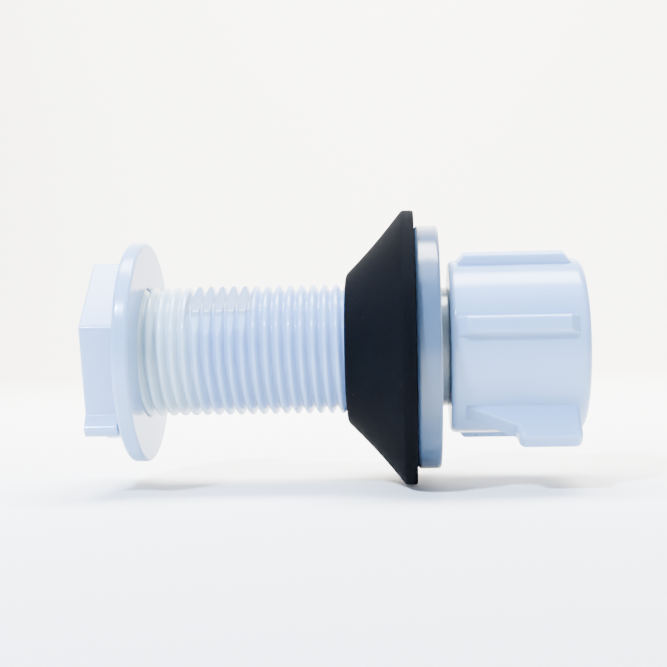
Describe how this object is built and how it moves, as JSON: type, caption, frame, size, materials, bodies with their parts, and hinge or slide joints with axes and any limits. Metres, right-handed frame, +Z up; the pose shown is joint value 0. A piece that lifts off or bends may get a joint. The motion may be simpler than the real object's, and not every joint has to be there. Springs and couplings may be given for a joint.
{
  "type": "thru hull fitting",
  "caption": "Plastic thru hull fitting: threaded hollow tail with flange, cone gasket and lugged backnut, and a swivel wing nut with a female thread.",
  "frame": {"origin": "on the tail's axis, at the face of the integral flange that the gasket seats on", "axes": "+X along the axis, from the backnut through the hull side towards the coupling nut; +Z up, with the fitting lying level as it does through a hull side"},
  "size_m": [0.0767, 0.0436, 0.0436],
  "materials": {
    "white_plastic": "moulded, slightly translucent, satin gloss",
    "black_rubber": "matt",
    "ring_plastic": "satin",
    "washer_rubber": "matt"
  },
  "bodies": {
    "tail": {"threaded_tail": "white_plastic", "retaining_ring": "ring_plastic"},
    "gasket": {"cone_gasket": "black_rubber"},
    "backnut": {"backnut": "white_plastic"},
    "washer": {"seat_washer": "washer_rubber"},
    "coupling": {"coupling_nut": "white_plastic"}
  },
  "joints": [
    {"name": "backnut_turn", "type": "hinge", "parent": "tail", "child": "gasket", "pos_m": [0, 0, 0], "axis": [1, 0, 0], "range_deg": [-1440, 6230]},
    {"name": "backnut_travel", "type": "slide", "parent": "gasket", "child": "backnut", "axis": [1, 0, 0], "range_m": [-0.0073, 0.0314]},
    {"name": "coupling_nut_float", "type": "slide", "parent": "tail", "child": "washer", "axis": [1, 0, 0], "range_m": [0, 0.00045]},
    {"name": "coupling_nut_swivel", "type": "hinge", "parent": "washer", "child": "coupling", "pos_m": [0, 0, 0], "axis": [1, 0, 0], "continuous": true}
  ],
  "couplings": [
    {"joint": "backnut_travel", "follows": "backnut_turn", "m_per_rad": 0.00028875}
  ]
}
